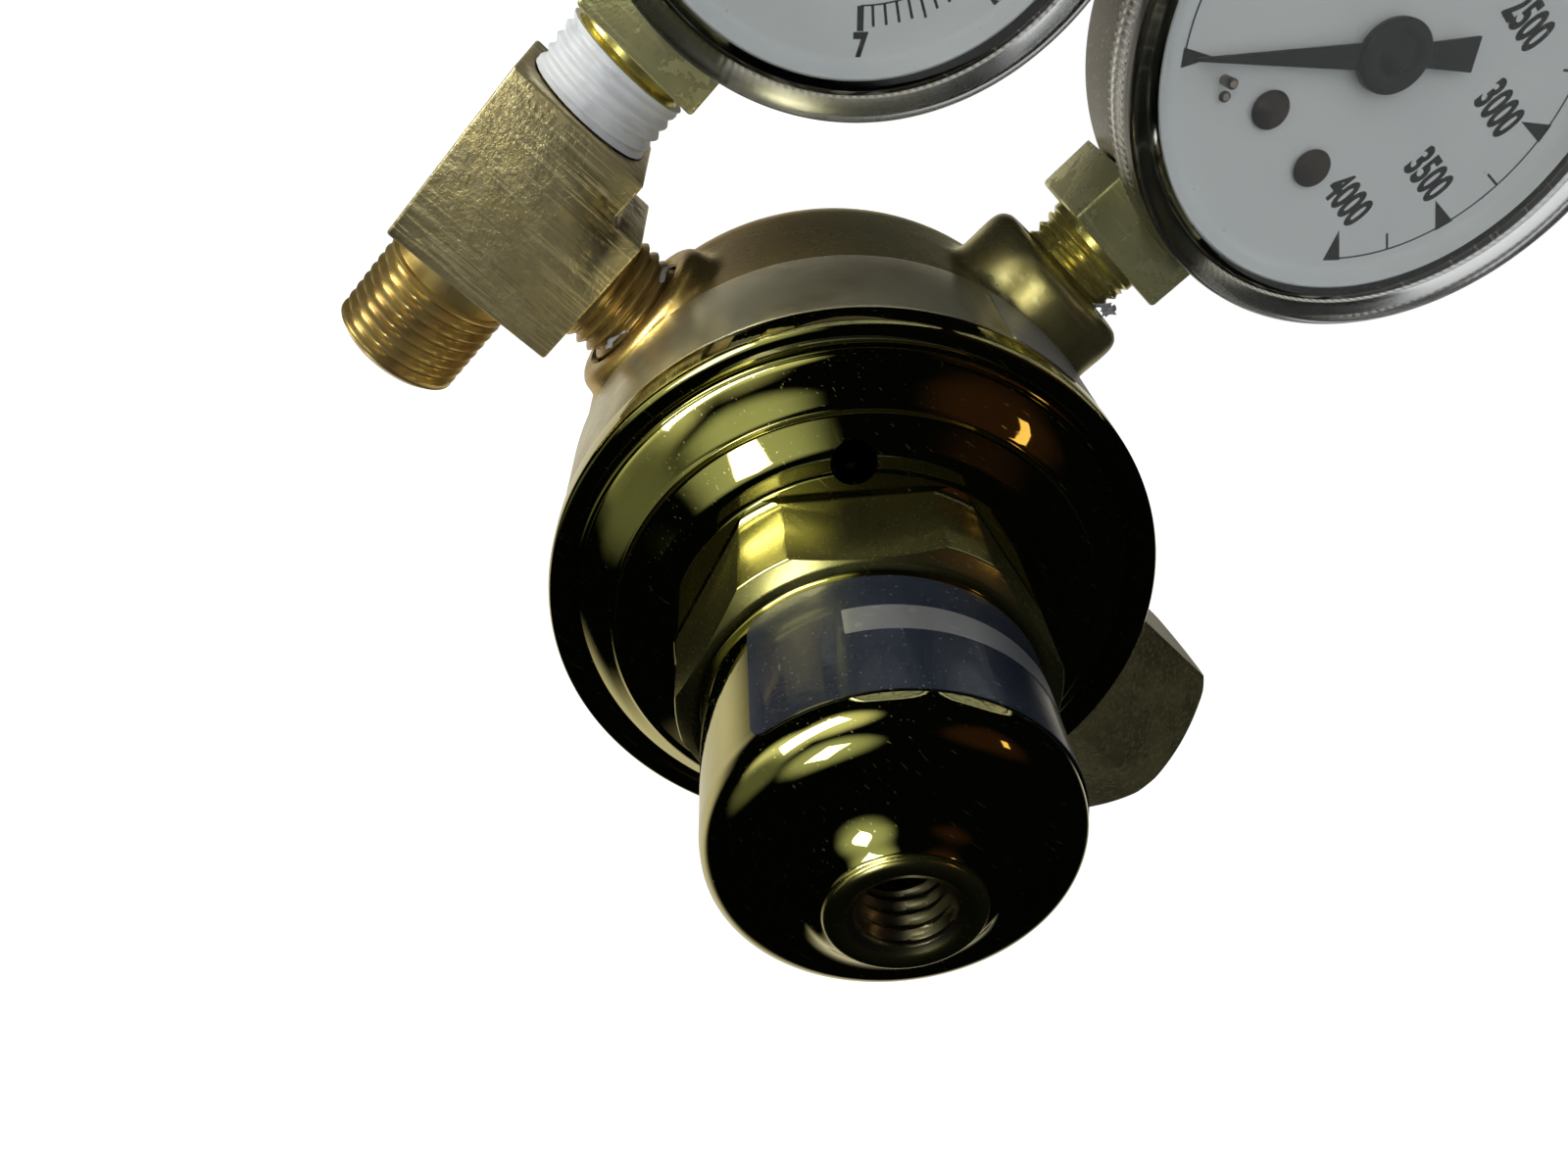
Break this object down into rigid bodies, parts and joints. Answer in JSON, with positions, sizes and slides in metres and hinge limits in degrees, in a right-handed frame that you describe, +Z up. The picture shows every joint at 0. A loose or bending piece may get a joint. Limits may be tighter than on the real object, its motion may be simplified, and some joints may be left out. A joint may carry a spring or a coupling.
{
  "type": "two-gauge gas pressure regulator",
  "caption": "Compact brass oxygen regulator with a hexagon inlet nut, contents and outlet pressure gauges, an outlet tee and a spring-loaded diaphragm bonnet.",
  "frame": {"origin": "centre of the inlet nut's mating face", "axes": "+X out of the inlet towards the cylinder valve, -Y the way the bonnet and both gauge dials face, +Z up through the contents gauge, opposite the outlet"},
  "size_m": [0.1348, 0.0853, 0.1284],
  "materials": {
    "polished_brass": "polished",
    "forged_brass": "satin",
    "tarnished_brass": "tarnished",
    "turned_brass": "machined",
    "movement_brass": "machined",
    "spring_bronze": "satin",
    "case_steel": "satin",
    "clear_window": "clear plastic",
    "white_dial": "gloss",
    "black_paint": "semi-gloss",
    "dark_steel": "blackened",
    "spring_steel": "plated",
    "black_rubber": "matte",
    "white_seat": "matte",
    "white_tape": "matte",
    "blue_foil": "printed foil"
  },
  "bodies": {
    "regulator_body": {"body": "forged_brass", "bonnet": "polished_brass", "data_label": "blue_foil", "slip_ring": "spring_steel", "diaphragm": "black_rubber", "nozzle": "turned_brass", "poppet_spring": "spring_steel", "range_spring": "spring_steel", "inlet_nipple": "turned_brass", "inlet_filter": "spring_bronze", "outlet_tee": "tarnished_brass", "thread_tape": "white_tape", "contents_socket": "tarnished_brass", "contents_case": "case_steel", "contents_window": "clear_window", "contents_dial": "white_dial", "contents_dial_screw_1": "dark_steel", "contents_dial_screw_2": "dark_steel", "contents_movement_frame": "movement_brass", "contents_movement_cover": "movement_brass", "contents_pressure_tube": "spring_bronze", "contents_tube_end": "movement_brass", "contents_hairspring": "spring_bronze", "delivery_socket": "tarnished_brass", "delivery_case": "case_steel", "delivery_window": "clear_window", "delivery_dial": "white_dial", "delivery_dial_screw_1": "dark_steel", "delivery_dial_screw_2": "dark_steel", "delivery_movement_frame": "movement_brass", "delivery_movement_cover": "movement_brass", "delivery_pressure_tube": "spring_bronze", "delivery_tube_end": "movement_brass", "delivery_hairspring": "spring_bronze"},
    "inlet_nut": {"inlet_nut": "tarnished_brass"},
    "spring_button": {"spring_button": "spring_steel"},
    "adjusting_screw": {"adjusting_screw": "dark_steel"},
    "diaphragm_group": {"diaphragm_plate": "turned_brass", "diaphragm_rivet": "turned_brass"},
    "valve": {"valve_poppet": "spring_steel", "seat_disc": "white_seat"},
    "contents_pointer_group": {"contents_pinion": "movement_brass", "contents_pointer": "black_paint"},
    "contents_sector_group": {"contents_sector": "movement_brass"},
    "contents_link_group": {"contents_link": "movement_brass"},
    "delivery_pointer_group": {"delivery_pinion": "movement_brass", "delivery_pointer": "black_paint"},
    "delivery_sector_group": {"delivery_sector": "movement_brass"},
    "delivery_link_group": {"delivery_link": "movement_brass"}
  },
  "joints": [
    {"name": "inlet_nut_turn", "type": "hinge", "parent": "regulator_body", "child": "inlet_nut", "pos_m": [0, 0, 0], "axis": [1, 0, 0], "continuous": true},
    {"name": "spring_button_slide", "type": "slide", "parent": "regulator_body", "child": "spring_button", "axis": [0, 1, 0], "range_m": [0, 0.00423], "deforming": ["range_spring"]},
    {"name": "adjusting_screw_turn", "type": "hinge", "parent": "spring_button", "child": "adjusting_screw", "pos_m": [-0.06, -0.0627, 0], "axis": [0, 1, 0], "range_deg": [0, 1080]},
    {"name": "diaphragm_stroke", "type": "slide", "parent": "regulator_body", "child": "diaphragm_group", "axis": [0, 1, 0], "range_m": [0, 0.0008], "stiffness_N_per_m": 400, "springref_m": -0.002, "deforming": ["diaphragm"]},
    {"name": "valve_stroke", "type": "slide", "parent": "regulator_body", "child": "valve", "axis": [0, 1, 0], "range_m": [0, 0.0008], "deforming": ["poppet_spring"]},
    {"name": "contents_pointer_turn", "type": "hinge", "parent": "regulator_body", "child": "contents_pointer_group", "pos_m": [-0.06, -0.0123, 0.0712], "axis": [0, 1, 0], "range_deg": [0, 270], "stiffness_Nm_per_rad": 0.001, "springref_deg": -11.46, "deforming": ["contents_hairspring"]},
    {"name": "contents_sector_swing", "type": "hinge", "parent": "regulator_body", "child": "contents_sector_group", "pos_m": [-0.06, -0.0048, 0.06057], "axis": [0, -1, 0], "range_deg": [0, 36], "deforming": ["contents_pressure_tube"]},
    {"name": "contents_link_swing", "type": "hinge", "parent": "contents_sector_group", "child": "contents_link_group", "pos_m": [-0.06155, -0.006, 0.05582], "axis": [0, 1, 0], "range_deg": [0, 36]},
    {"name": "delivery_pointer_turn", "type": "hinge", "parent": "regulator_body", "child": "delivery_pointer_group", "pos_m": [-0.10965, -0.0123, 0.0508], "axis": [0, 1, 0], "range_deg": [0, 270], "stiffness_Nm_per_rad": 0.001, "springref_deg": -11.46, "deforming": ["delivery_hairspring"]},
    {"name": "delivery_sector_swing", "type": "hinge", "parent": "regulator_body", "child": "delivery_sector_group", "pos_m": [-0.10965, -0.0048, 0.04018], "axis": [0, -1, 0], "range_deg": [0, 36], "deforming": ["delivery_pressure_tube"]},
    {"name": "delivery_link_swing", "type": "hinge", "parent": "delivery_sector_group", "child": "delivery_link_group", "pos_m": [-0.1112, -0.006, 0.03542], "axis": [0, 1, 0], "range_deg": [0, 36]}
  ],
  "couplings": [
    {"joint": "adjusting_screw_turn", "follows": "spring_button_slide", "rad_per_m": 4452.6},
    {"joint": "valve_stroke", "follows": "diaphragm_stroke", "ratio": 1},
    {"joint": "contents_sector_swing", "follows": "contents_pointer_turn", "ratio": 0.13333},
    {"joint": "contents_link_swing", "follows": "contents_pointer_turn", "ratio": 0.13333},
    {"joint": "delivery_sector_swing", "follows": "delivery_pointer_turn", "ratio": 0.13333},
    {"joint": "delivery_link_swing", "follows": "delivery_pointer_turn", "ratio": 0.13333}
  ]
}
